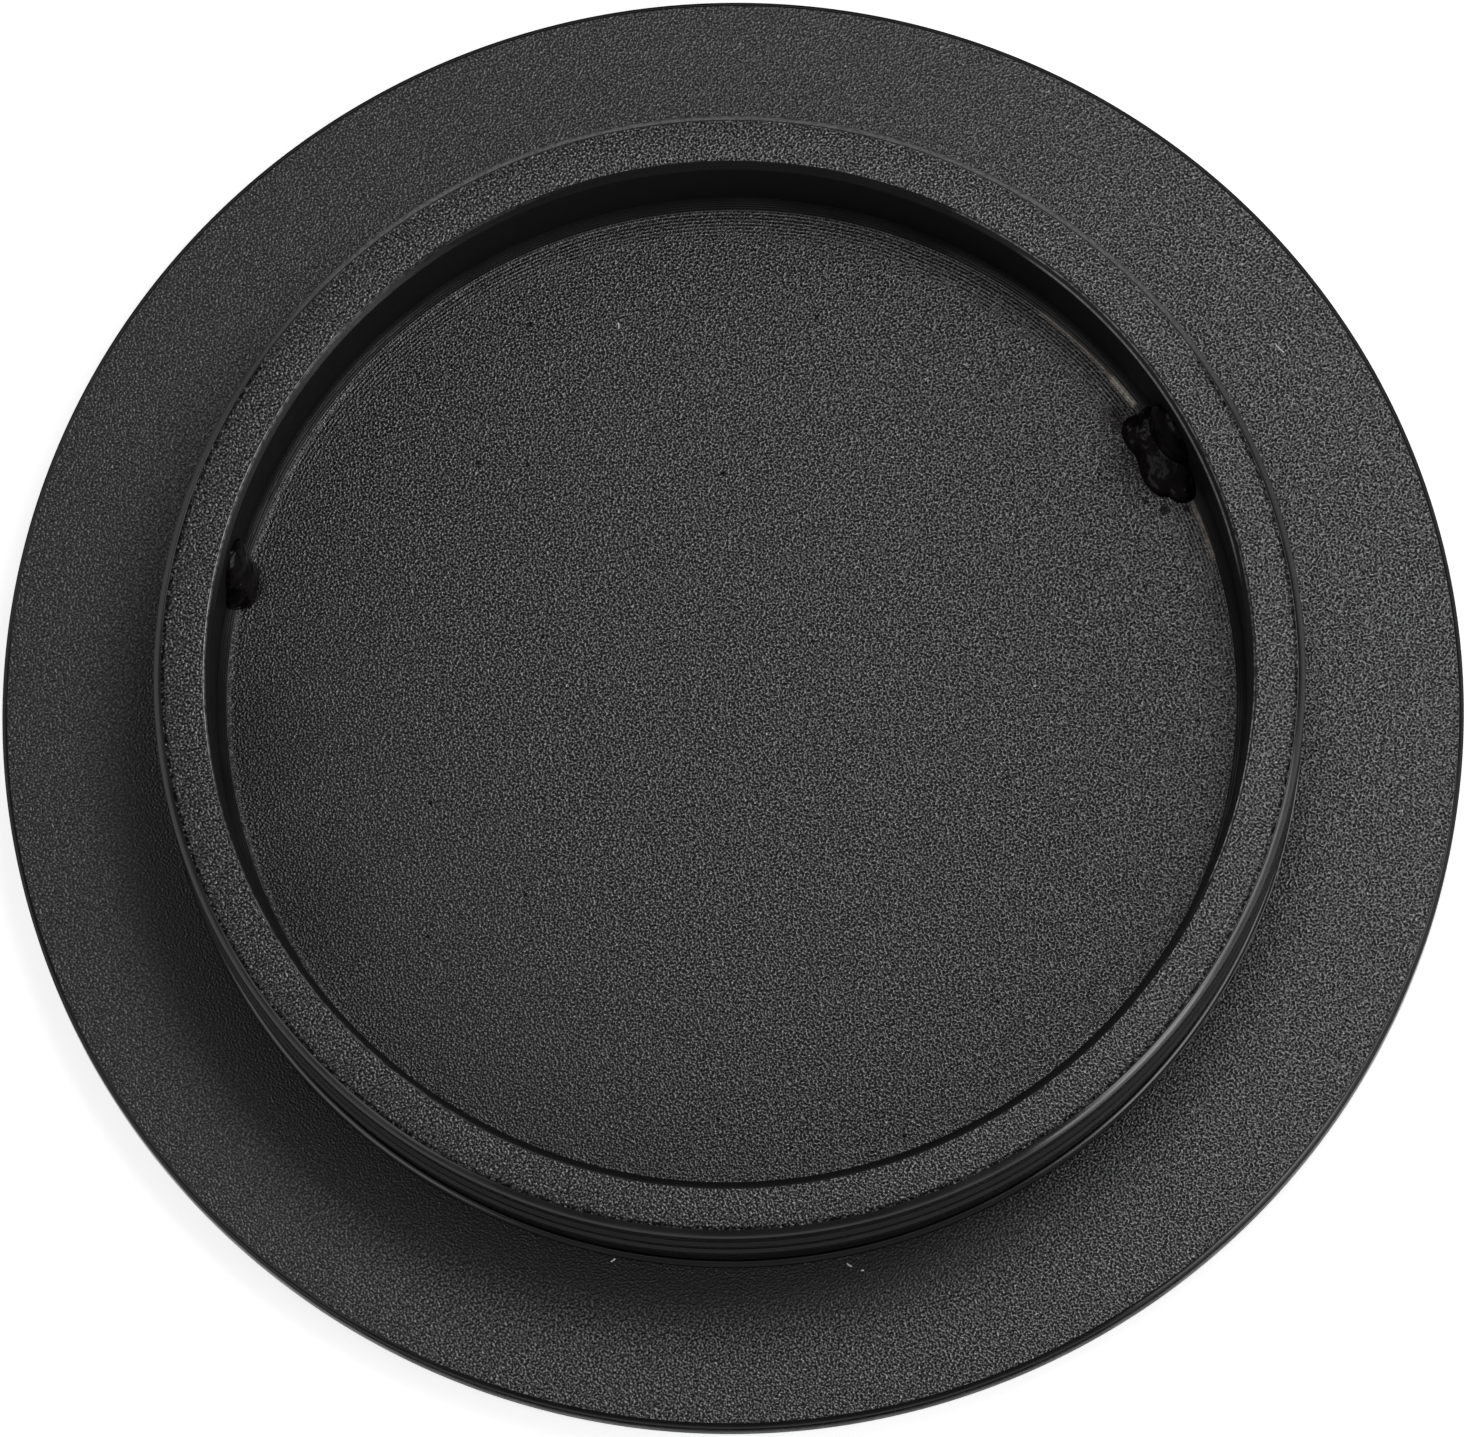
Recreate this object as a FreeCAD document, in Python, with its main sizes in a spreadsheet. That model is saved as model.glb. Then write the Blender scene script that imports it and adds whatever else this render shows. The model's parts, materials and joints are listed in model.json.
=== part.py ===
import FreeCAD, Part

import os

import Sketcher

# A push-in dust cap: one turned piece of aluminium with a wide flange, a short plug ring with two shallow
# grip grooves round it, and a blind recess inside the ring. Two dried dabs of lacquer sit in the recess corner.
# The cap lies on its outer face, ring upwards. The origin is the centre of that face and Z is the axis.

# Driving dimensions, millimetres and degrees, and one count.
DIMENSIONS = {
    "plug_diameter": 31.7,
    "seat_width": 4.47,
    "flange_thickness": 1.5,
    "front_chamfer": 0.5,
    "rim_break": 0.12,
    "ring_height": 4.53,
    "ring_wall": 1.59,
    "lip_height": 0.57,
    "lip_chamfer": 0.19,
    "mouth_chamfer": 0.19,
    "groove_count": 2,
    "groove_pitch": 1.0,
    "groove_width": 0.8,
    "groove_depth": 0.1,
    "lower_land": 0.26,
    "neck_depth": 0.2,
    "seat_corner_radius": 0.2,
    "floor_thickness": 2.5,
    "floor_corner_radius": 0.44,
    "right_dab_angle": 30.3,
    "right_dab_length": 2.62,
    "right_dab_reach": 1.43,
    "right_dab_rise": 3.0,
    "left_dab_angle": 166.1,
    "left_dab_length": 1.81,
    "left_dab_reach": 0.72,
    "left_dab_rise": 2.87,
}

# Sizes that follow from the driving dimensions. A groove's sides slope at 45 degrees.
PLUG_RADIUS = "Dimensions.plug_diameter / 2"
NECK_RADIUS = f"{PLUG_RADIUS} - Dimensions.neck_depth"
FLANGE_RADIUS = f"{PLUG_RADIUS} + Dimensions.seat_width"
RECESS_RADIUS = f"{PLUG_RADIUS} - Dimensions.ring_wall"
SEAT_HEIGHT = "Dimensions.flange_thickness"
RING_TOP = f"{SEAT_HEIGHT} + Dimensions.ring_height"
FLOOR_HEIGHT = "Dimensions.floor_thickness"
GROOVE_TOP = f"{RING_TOP} - Dimensions.lip_height"
GROOVE_FOOT = f"{GROOVE_TOP} - Dimensions.groove_width"
LAST_GROOVE_FOOT = f"{GROOVE_FOOT} - (Dimensions.groove_count - 1) * Dimensions.groove_pitch"
NECK_TOP = f"{LAST_GROOVE_FOOT} - Dimensions.lower_land"

FULL_TURN = 360.0
TOLERANCE = 1e-5


def make_sheet(doc):
    """Put every driving dimension in a cell of its own, under its alias."""
    sheet = doc.addObject("Spreadsheet::Sheet", "Dimensions")
    for row, (alias, value) in enumerate(DIMENSIONS.items(), start=1):
        sheet.set(f"A{row}", alias)
        sheet.set(f"B{row}", str(value))
        sheet.setAlias(f"B{row}", alias)
    doc.recompute()
    return sheet


def origin_feature(body, role):
    """Return the plane or axis of the body's own origin that has this role."""
    for feature in body.Origin.OriginFeatures:
        if feature.Role == role:
            return feature
    raise RuntimeError(f"the body has no {role}")


def half_section(body, name, sheet, corners):
    """Draw a half-section on the body's upright plane, as straight sides from corner to corner.

    Each corner is a pair of expressions, radius and height, and None stands for zero. The first corner with
    a new radius or height carries its dimension, and later corners with the same one are lined up with it.
    """
    sketch = body.newObject("Sketcher::SketchObject", name)
    sketch.AttachmentSupport = [(origin_feature(body, "XZ_Plane"), "")]
    sketch.MapMode = "FlatFace"
    points = [
        FreeCAD.Vector(*(0.0 if size is None else float(sheet.evalExpression(size)) for size in corner), 0.0)
        for corner in corners
    ]
    count = len(points)
    for index, point in enumerate(points):
        sketch.addGeometry(Part.LineSegment(point, points[(index + 1) % count]))
    for index in range(count):
        sketch.addConstraint(Sketcher.Constraint("Coincident", index, 2, (index + 1) % count, 1))
    # A sketch numbers its own level axis -1 and its upright axis -2.
    level_axis, upright_axis = -1, -2
    dimensioned = {}
    for index, (radius, height) in enumerate(corners):
        for direction, line_up, zero_axis, size in (
            ("DistanceX", "Vertical", upright_axis, radius),
            ("DistanceY", "Horizontal", level_axis, height),
        ):
            if size is None:
                sketch.addConstraint(Sketcher.Constraint("PointOnObject", index, 1, zero_axis))
                continue
            first = dimensioned.setdefault((direction, size), index)
            if first != index:
                sketch.addConstraint(Sketcher.Constraint(line_up, first, 1, index, 1))
                continue
            value = float(sheet.evalExpression(size))
            number = sketch.addConstraint(Sketcher.Constraint(direction, -1, 1, index, 1, value))
            sketch.setExpression(f"Constraints[{number}]", size)
    return sketch


def turn(body, kind, name, sketch):
    """Turn a half-section all the way round the Z axis, to add a Revolution or to cut a Groove."""
    turned = body.newObject(f"PartDesign::{kind}", name)
    turned.Profile = sketch
    turned.ReferenceAxis = (sketch, ["V_Axis"])
    turned.Angle = FULL_TURN
    body.Document.recompute()
    return turned


def cut_grip_grooves(body, sheet):
    """Cut the upper groove round the plug, and repeat it down the plug at the groove pitch."""
    outside = f"{PLUG_RADIUS} + Dimensions.groove_depth"
    bottom = f"{PLUG_RADIUS} - Dimensions.groove_depth"
    section = half_section(body, "groove_section", sheet, [
        (outside, f"{GROOVE_TOP} + Dimensions.groove_depth"),
        (bottom, f"{GROOVE_TOP} - Dimensions.groove_depth"),
        (bottom, f"{GROOVE_FOOT} + Dimensions.groove_depth"),
        (outside, f"{GROOVE_FOOT} - Dimensions.groove_depth"),
    ])
    groove = turn(body, "Groove", "upper_groove", section)
    grooves = body.newObject("PartDesign::LinearPattern", "grip_grooves")
    grooves.Originals = [groove]
    grooves.Direction = (origin_feature(body, "Z_Axis"), [""])
    grooves.Reversed = True
    grooves.Mode = "Spacing"
    grooves.setExpression("Offset", "Dimensions.groove_pitch")
    grooves.setExpression("Occurrences", "Dimensions.groove_count")
    body.Tip = grooves
    body.Document.recompute()


def circle_edge(shape, sheet, radius, height):
    """Name the one circular edge of the shape that has this radius and height."""
    wanted_radius = float(sheet.evalExpression(radius))
    wanted_height = float(sheet.evalExpression(height)) if height else 0.0
    for number, edge in enumerate(shape.Edges, start=1):
        curve = edge.Curve
        if not isinstance(curve, Part.Circle):
            continue
        if abs(curve.Radius - wanted_radius) < TOLERANCE and abs(curve.Center.z - wanted_height) < TOLERANCE:
            return f"Edge{number}"
    raise RuntimeError(f"no round edge at radius {radius}, height {height}")


def dress_edge(body, kind, name, size, sheet, radius, height):
    """Round or chamfer one round edge of the body; size is the alias of the sheet's cell."""
    base = body.Tip
    edge = circle_edge(base.Shape, sheet, radius, height)
    dressed = body.newObject(f"PartDesign::{kind}", name)
    dressed.Base = (base, [edge])
    dressed.setExpression("Radius" if kind == "Fillet" else "Size", f"Dimensions.{size}")
    body.Document.recompute()


def make_cap_body(doc, sheet):
    """Turn the flange, neck, plug ring and blind recess as one solid, groove the ring and dress the edges."""
    body = doc.addObject("PartDesign::Body", "cap_body")
    body.Label = "cap_body"
    section = half_section(body, "turned_section", sheet, [
        (None, None),
        (FLANGE_RADIUS, None),
        (FLANGE_RADIUS, SEAT_HEIGHT),
        (NECK_RADIUS, SEAT_HEIGHT),
        (NECK_RADIUS, NECK_TOP),
        (PLUG_RADIUS, NECK_TOP),
        (PLUG_RADIUS, RING_TOP),
        (RECESS_RADIUS, RING_TOP),
        (RECESS_RADIUS, FLOOR_HEIGHT),
        (None, FLOOR_HEIGHT),
    ])
    turn(body, "Revolution", "turned_blank", section)
    cut_grip_grooves(body, sheet)
    dress_edge(body, "Fillet", "floor_corner", "floor_corner_radius", sheet, RECESS_RADIUS, FLOOR_HEIGHT)
    dress_edge(body, "Fillet", "seat_corner", "seat_corner_radius", sheet, NECK_RADIUS, SEAT_HEIGHT)
    dress_edge(body, "Chamfer", "lip_edge", "lip_chamfer", sheet, PLUG_RADIUS, RING_TOP)
    dress_edge(body, "Chamfer", "mouth_edge", "mouth_chamfer", sheet, RECESS_RADIUS, RING_TOP)
    dress_edge(body, "Chamfer", "rim_edge", "rim_break", sheet, FLANGE_RADIUS, SEAT_HEIGHT)
    dress_edge(body, "Chamfer", "front_edge", "front_chamfer", sheet, FLANGE_RADIUS, None)
    return body


def make_recess_space(doc, sheet):
    """Turn the empty space of the recess, with the rounded corner that the dabs fill."""
    body = doc.addObject("PartDesign::Body", "recess_space")
    section = half_section(body, "space_section", sheet, [
        (None, FLOOR_HEIGHT),
        (RECESS_RADIUS, FLOOR_HEIGHT),
        (RECESS_RADIUS, RING_TOP),
        (None, RING_TOP),
    ])
    turn(body, "Revolution", "space_blank", section)
    dress_edge(body, "Fillet", "space_corner", "floor_corner_radius", sheet, RECESS_RADIUS, FLOOR_HEIGHT)
    return body


def make_dab(doc, side, space):
    """Make one dab of lacquer: a drop centred on the recess corner, kept to the space of the recess."""
    angle = f"Dimensions.{side}_dab_angle"
    drop = doc.addObject("Part::Ellipsoid", f"{side}_drop")
    drop.setExpression("Radius1", f"Dimensions.{side}_dab_rise")
    drop.setExpression("Radius2", f"Dimensions.{side}_dab_reach")
    drop.setExpression("Radius3", f"Dimensions.{side}_dab_length / 2")
    drop.setExpression("Placement.Base.x", f"({RECESS_RADIUS}) * cos({angle})")
    drop.setExpression("Placement.Base.y", f"({RECESS_RADIUS}) * sin({angle})")
    drop.setExpression("Placement.Base.z", FLOOR_HEIGHT)
    drop.setExpression("Placement.Rotation.Angle", angle)
    dab = doc.addObject("Part::Common", f"{side}_dab")
    dab.Label = f"{side}_dab"
    dab.Base = drop
    dab.Tool = space
    doc.recompute()
    return dab


def check_document(doc, parts):
    """Stop before anything is written if an object failed or a part has no sound solid."""
    for item in doc.Objects:
        if "Invalid" in item.State or "Error" in item.State:
            raise RuntimeError(f"{item.Label} failed: {item.State}")
    for part in parts:
        if part.Shape.isNull() or not part.Shape.isValid() or not part.Shape.Solids:
            raise RuntimeError(f"{part.Label} has no valid solid")


def main():
    """Build the cap and its dabs, check them and write one STEP file for each."""
    doc = FreeCAD.newDocument("dust_cap")
    sheet = make_sheet(doc)
    parts = [make_cap_body(doc, sheet)]
    space = make_recess_space(doc, sheet)
    for side in ("right", "left"):
        parts.append(make_dab(doc, side, space))
    doc.recompute()
    check_document(doc, parts)
    os.makedirs("parts", exist_ok=True)
    for part in parts:
        part.Shape.exportStep(os.path.join("parts", f"{part.Label}.step"))
        print(f"{part.Label}: {part.Shape.Volume:.3f} mm3")


main()
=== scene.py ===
"""Dress a push-in dust cap: the turned cap, two dabs of lacquer, a little lint, and a plain white studio.

Lengths are in metres. The cap lies on its outer face with the ring upwards. The origin is the centre of
that face and Z is the turning axis. Bearings are in degrees from +X, counted anticlockwise from above.
"""
import json
import logging
import math
from dataclasses import dataclass
from enum import Enum

import bmesh
import bpy
from mathutils import Matrix, Vector


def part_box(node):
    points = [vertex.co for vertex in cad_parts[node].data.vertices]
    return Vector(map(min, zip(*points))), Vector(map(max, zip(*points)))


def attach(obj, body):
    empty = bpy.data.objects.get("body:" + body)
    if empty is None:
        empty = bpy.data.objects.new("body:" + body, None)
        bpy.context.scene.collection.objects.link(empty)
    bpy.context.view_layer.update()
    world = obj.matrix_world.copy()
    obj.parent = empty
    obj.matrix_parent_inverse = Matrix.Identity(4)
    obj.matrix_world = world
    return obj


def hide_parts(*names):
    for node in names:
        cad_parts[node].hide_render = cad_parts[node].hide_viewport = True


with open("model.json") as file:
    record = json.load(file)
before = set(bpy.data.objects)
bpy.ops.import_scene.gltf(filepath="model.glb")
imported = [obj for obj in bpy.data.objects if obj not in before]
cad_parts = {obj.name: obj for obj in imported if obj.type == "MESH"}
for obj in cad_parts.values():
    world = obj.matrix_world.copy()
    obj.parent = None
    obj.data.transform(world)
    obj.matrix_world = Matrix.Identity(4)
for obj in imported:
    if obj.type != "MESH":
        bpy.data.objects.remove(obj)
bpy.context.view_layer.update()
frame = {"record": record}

MM = 0.001
BODY = "root"
TURN_STEPS = 360
MERGE_DISTANCE = 1e-6
BLUE_TINT = 1.014
NOISE_LOW = 0.3
NOISE_MIDDLE = 0.5
NOISE_HIGH = 0.7
LOG = logging.getLogger("dust_cap")

Colour = tuple[float, float, float, float]
Piece = bpy.types.Object
Material = bpy.types.Material
Socket = bpy.types.NodeSocket
Value = float | tuple | Socket


class Zone(Enum):
    """The finishes of the cap's faces, numbered as its material slots are."""

    SEAT = 0
    RING_TOP = 1
    FLOOR = 2
    OUTER_FACE = 3
    RIM = 4
    PLUG = 5
    MOUTH_EDGE = 6
    RECESS_WALL = 7
    FLOOR_CORNER = 8
    LIP = 9
    FOOT = 10


def clear_selection() -> None:
    """Deselect every object, the loaded solids among them."""
    bpy.ops.object.select_all(action="DESELECT")


def select_only(piece: Piece) -> None:
    """Make one object the selected and active one.

    Args:
        piece: The object to select.
    """
    clear_selection()
    piece.select_set(True)
    bpy.context.view_layer.objects.active = piece


def name_piece(name: str) -> Piece:
    """Name the primitive that was added last, and its mesh.

    Args:
        name: The piece's name.

    Returns:
        The named object.
    """
    piece = bpy.context.active_object
    piece.name = name
    piece.data.name = name
    return piece


def polar(radius: float, bearing: float, height: float = 0.0) -> Vector:
    """Give the point at a radius, a bearing in degrees and a height above the outer face."""
    angle = math.radians(bearing)
    return Vector((radius * math.cos(angle), radius * math.sin(angle), height))


def grey(level: float) -> Colour:
    """Give a neutral grey."""
    return (level, level, level, 1.0)


def tinted(level: float) -> Colour:
    """Give a grey of the anodised metal, which is a little blue."""
    return (level, level, BLUE_TINT * level, 1.0)


def join_pieces(pieces: list[Piece], name: str) -> Piece:
    """Join pieces into one.

    Args:
        pieces: The objects to join.
        name: The name of the whole.

    Returns:
        The joined object.
    """
    select_only(pieces[0])
    for piece in pieces:
        piece.select_set(True)
    bpy.ops.object.join()
    return name_piece(name)


def apply_modifier(piece: Piece, kind: str, **settings: object) -> None:
    """Add a modifier to a piece and apply it at once.

    Args:
        piece: The object that gets the modifier.
        kind: Blender's name for the modifier's type.
        **settings: The modifier's properties.
    """
    select_only(piece)
    modifier = piece.modifiers.new(kind.lower(), kind)
    for name, value in settings.items():
        setattr(modifier, name, value)
    bpy.ops.object.modifier_apply(modifier=modifier.name)


def coat(piece: Piece, finish: Material) -> None:
    """Give a piece one finish, and set it on the cap's body.

    Args:
        piece: The piece's object.
        finish: Its material.
    """
    piece.data.materials.clear()
    piece.data.materials.append(finish)
    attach(piece, BODY)


class Graph:
    """Adds and joins the nodes of one material or node group."""

    def __init__(self, tree: bpy.types.NodeTree) -> None:
        """Keep the tree that the nodes go into."""
        self.tree = tree

    def add(self, kind: str, **settings: object) -> bpy.types.Node:
        """Add a shader node.

        Args:
            kind: The node's type without the ShaderNode prefix.
            **settings: The node's properties.

        Returns:
            The new node.
        """
        node = self.tree.nodes.new(f"ShaderNode{kind}")
        for name, value in settings.items():
            setattr(node, name, value)
        return node

    def feed(self, socket: Socket, value: Value) -> None:
        """Join a socket to an output, or set it to a plain value.

        Args:
            socket: The input socket.
            value: An output socket, a number or a tuple.
        """
        if isinstance(value, Socket):
            self.tree.links.new(value, socket)
        else:
            socket.default_value = value

    def fill(self, node: bpy.types.Node, values: dict[str, Value]) -> bpy.types.Node:
        """Feed several inputs of a node by name.

        Args:
            node: The node.
            values: Its inputs by name.

        Returns:
            The same node.
        """
        for name, value in values.items():
            self.feed(node.inputs[name], value)
        return node

    def work(self, kind: str, values: tuple[Value, ...], **settings: object) -> bpy.types.NodeOutputs:
        """Add a shader node and feed its inputs in order.

        Args:
            kind: The node's type without the ShaderNode prefix.
            values: The inputs in order.
            **settings: The node's properties.

        Returns:
            The node's outputs.
        """
        node = self.add(kind, **settings)
        for socket, value in zip(node.inputs, values):
            self.feed(socket, value)
        return node.outputs

    def math(self, operation: str, *values: Value) -> Socket:
        """Work out one number from others."""
        return self.work("Math", values, operation=operation)[0]

    def length(self, operation: str, *values: Value) -> Socket:
        """Work out one number from vectors."""
        return self.work("VectorMath", values, operation=operation)["Value"]

    def ramp(self, value: Value, start: Value, end: Value, low: Value = 0.0, high: Value = 1.0,
             shape: str = "SMOOTHSTEP") -> Socket:
        """Go from low to high as the value goes from start to end, smoothly or in a LINEAR shape."""
        return self.work("MapRange", (value, start, end, low, high), interpolation_type=shape)[0]

    def blend(self, share: Value, first: Value, second: Value) -> Socket:
        """Mix two colours by the second one's share."""
        mix = self.fill(self.add("Mix", data_type="RGBA"), {"Factor": share, "A": first, "B": second})
        return mix.outputs["Result"]

    def place(self) -> Socket:
        """Return the Object coordinates."""
        return self.add("TexCoord").outputs["Object"]

    def radius(self, place: Value) -> Socket:
        """Work out the distance of a place from the turning axis."""
        flat = self.work("VectorMath", (place, (1.0, 1.0, 0.0)), operation="MULTIPLY")[0]
        return self.length("LENGTH", flat)

    def bump(self, height: Value, depth: float, below: Value | None = None) -> Socket:
        """Tilt the normal by a height.

        Args:
            height: The height, from 0 to 1.
            depth: How deep it goes.
            below: The normal that it lies on, if that is not the plain one.

        Returns:
            The tilted normal's socket.
        """
        node = self.fill(self.add("Bump"), {"Distance": depth, "Height": height})
        if below is not None:
            self.feed(node.inputs["Normal"], below)
        return node.outputs["Normal"]

    def noise(self, place: Value, size: Value, detail: float = 0.0, distortion: float = 0.0,
              dimensions: str = "3D") -> Socket:
        """Add a soft noise.

        Args:
            place: The coordinates it is read at.
            size: The size of its lumps.
            detail: How many finer layers it has.
            distortion: How far it is swirled.
            dimensions: 3D, or 2D for a flat face.

        Returns:
            The socket of its value, from 0 to 1.
        """
        node = self.add("TexNoise", noise_dimensions=dimensions)
        joined = isinstance(size, Socket)
        scale = self.math("DIVIDE", 1.0, size) if joined else 1.0 / size
        self.fill(node, {"Vector": place, "Scale": scale, "Detail": detail, "Distortion": distortion})
        return node.outputs["Fac"]

    def group(self, tree: bpy.types.NodeTree, **values: Value) -> bpy.types.NodeOutputs:
        """Place a node group, feed its inputs by name and give its outputs."""
        return self.fill(self.add("Group", node_tree=tree), values).outputs


def new_group(name: str, vectors: tuple[str, ...], numbers: tuple[str, ...], results: tuple[str, ...]
              ) -> tuple[Graph, bpy.types.NodeOutputs, bpy.types.Node]:
    """Start a shader node group.

    Args:
        name: The group's name.
        vectors: The names of the vectors that go in.
        numbers: The names of the numbers that go in.
        results: The names of the numbers that come out.

    Returns:
        The group's graph, the values given to it and its output node.
    """
    tree = bpy.data.node_groups.new(name, "ShaderNodeTree")
    for labels, direction, kind in (
            (vectors, "INPUT", "Vector"), (numbers, "INPUT", "Float"), (results, "OUTPUT", "Float")):
        for label in labels:
            tree.interface.new_socket(label, in_out=direction, socket_type=f"NodeSocket{kind}")
    entry = tree.nodes.new("NodeGroupInput")
    leave = tree.nodes.new("NodeGroupOutput")
    return Graph(tree), entry.outputs, leave


class SharedEffects:
    """The node groups that more than one finish uses."""

    def __init__(self) -> None:
        """Build each group once."""
        self.grain = self.make_grain()
        self.lathe = self.make_lathe()
        self.stain_and_shade_patch = self.make_stain_and_shade_patch()
        self.ring_line = self.make_ring_line()

    @staticmethod
    def make_grain() -> bpy.types.NodeTree:
        """Make the wormy grain that blasting leaves on a flat face.

        Returns:
            A group that puts out the grain's height and its bright flecks, both from 0 to 1.
        """
        turns_and_shares = ((0.47, 1.0), (1.31, 0.87))
        fleck_start = 0.34
        fleck_end = 0.78
        fleck_sharpness = 1.7
        graph, given, leave = new_group("blasted_grain", ("Place",), ("Size",), ("Height", "Fleck"))
        layers = []
        for turn, share in turns_and_shares:
            turned = graph.add("Mapping")
            graph.fill(turned, {"Vector": given["Place"], "Rotation": (0.0, 0.0, turn)})
            size = graph.math("MULTIPLY", given["Size"], share)
            layers.append(graph.noise(turned.outputs["Vector"], size, dimensions="2D"))
        height = graph.math("MULTIPLY", graph.math("ADD", *layers), 0.5)
        spread = graph.ramp(height, fleck_start, fleck_end, shape="LINEAR")
        graph.fill(leave, {"Height": height, "Fleck": graph.math("POWER", spread, fleck_sharpness)})
        return graph.tree

    @staticmethod
    def make_lathe() -> bpy.types.NodeTree:
        """Make the fine rings that a lathe tool leaves.

        Returns:
            A group that puts out the rings' height from 0 to 1.
        """
        patch_size = 0.35 * MM
        swing = 0.8
        middle_height = 0.5
        graph, given, leave = new_group("lathe_rings", ("Place",), ("Pitch",), ("Height",))
        place = given["Place"]
        height = graph.work("SeparateXYZ", (place,))["Z"]
        along = graph.math("ADD", graph.radius(place), height)
        turns = graph.math("DIVIDE", along, given["Pitch"])
        wave = graph.math("SINE", graph.math("MULTIPLY", turns, math.tau))
        uneven = graph.noise(place, patch_size, detail=1.0)
        strength = graph.math("MULTIPLY", uneven, swing)
        graph.feed(leave.inputs["Height"], graph.math("MULTIPLY_ADD", wave, strength, middle_height))
        return graph.tree

    @staticmethod
    def make_stain_and_shade_patch() -> bpy.types.NodeTree:
        """Make a round patch with a ragged edge, for a stained spot or a patch of painted shade.

        Returns:
            A group that puts out a mask, 1 within the patch and 0 outside it.
        """
        graph, given, leave = new_group(
            "stain_and_shade_patch", ("Place", "Centre"), ("Inner", "Outer", "Ragged", "Uneven"), ("Mask",))
        gap = graph.length("DISTANCE", given["Place"], given["Centre"])
        uneven = graph.math("SUBTRACT", given["Uneven"], NOISE_MIDDLE)
        offset = graph.math("MULTIPLY", uneven, given["Ragged"])
        reach = graph.math("ADD", gap, offset)
        mask = graph.ramp(reach, given["Inner"], given["Outer"], 1.0, 0.0)
        graph.feed(leave.inputs["Mask"], mask)
        return graph.tree

    @staticmethod
    def make_ring_line() -> bpy.types.NodeTree:
        """Make a thin uneven line that runs round the axis.

        Returns:
            A group that puts out a mask, 1 on the line and 0 beside it.
        """
        bead_size = 0.11 * MM
        bead_start = 0.3
        bead_end = 0.65
        core = 0.3
        edge = 0.7
        graph, given, leave = new_group(
            "ring_line", ("Place", "Middle"), ("Radius", "Width", "Reach", "Fade", "Gap"), ("Mask",))
        place = given["Place"]
        radius = graph.radius(place)
        aside = graph.math("ABSOLUTE", graph.math("SUBTRACT", radius, given["Radius"]))
        band = graph.ramp(graph.math("DIVIDE", aside, given["Width"]), core, edge, 1.0, 0.0)
        facing = graph.math("DIVIDE", graph.length("DOT_PRODUCT", place, given["Middle"]), radius)
        within = graph.math("SUBTRACT", facing, given["Reach"])
        arc = graph.ramp(within, 0.0, given["Fade"])
        wobble = graph.noise(place, bead_size)
        beads = graph.ramp(wobble, bead_start, bead_end, given["Gap"], 1.0)
        line = graph.math("MULTIPLY", band, beads)
        graph.feed(leave.inputs["Mask"], graph.math("MULTIPLY", line, arc))
        return graph.tree


@dataclass(frozen=True)
class StainOrShade:
    """A feathered patch on a face, used for stained spots and for patches of painted shade."""

    centre: tuple[float, float, float]
    inner: float
    outer: float
    ragged: float
    colour: Colour
    strength: float


@dataclass(frozen=True)
class RingLine:
    """A thin line along an arc round the axis, dark or pale: some mark wear, and some are painted
    highlights and painted shade along edges.
    """

    radius: float
    width: float
    colour: Colour
    bearing: float
    half_arc: float
    gap: float = 0.2
    fade: float = 0.02

    @property
    def reach(self) -> float:
        """Return the cosine of the half arc."""
        return math.cos(math.radians(self.half_arc))


@dataclass(frozen=True)
class Finish:
    """What every finish has: a name, and the lines and feathered patches that lie on it, painted
    highlights and shade among them.
    """

    name: str
    lines: tuple[RingLine, ...] = ()
    stains_and_shades: tuple[StainOrShade, ...] = ()
    ragged_size: float = 0.4 * MM

    def start(self) -> tuple[Material, Graph, bpy.types.Node]:
        """Start the material.

        Returns:
            The material, its graph and its shader.
        """
        material = bpy.data.materials.new(self.name)
        material.use_nodes = True
        return material, Graph(material.node_tree), material.node_tree.nodes["Principled BSDF"]

    def mark(self, graph: Graph, effects: SharedEffects, place: Value, colour: Value) -> Value:
        """Lay the lines and feathered patches over a colour, painted highlights and shade among them.

        Args:
            graph: The material's nodes.
            effects: The shared node groups.
            place: The Object coordinates.
            colour: The colour below.

        Returns:
            The marked colour.
        """
        for line in self.lines:
            mask = graph.group(
                effects.ring_line, Place=place, Radius=line.radius, Width=line.width,
                Middle=tuple(polar(1.0, line.bearing)), Reach=line.reach, Fade=line.fade,
                Gap=line.gap)["Mask"]
            colour = graph.blend(mask, colour, line.colour)
        if self.stains_and_shades:
            uneven = graph.noise(place, self.ragged_size, detail=3.0)
        for spot_or_shade in self.stains_and_shades:
            mask = graph.group(
                effects.stain_and_shade_patch, Place=place, Centre=spot_or_shade.centre, Inner=spot_or_shade.inner, Outer=spot_or_shade.outer,
                Ragged=spot_or_shade.ragged, Uneven=uneven)["Mask"]
            colour = graph.blend(graph.math("MULTIPLY", mask, spot_or_shade.strength), colour, spot_or_shade.colour)
        return colour


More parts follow.
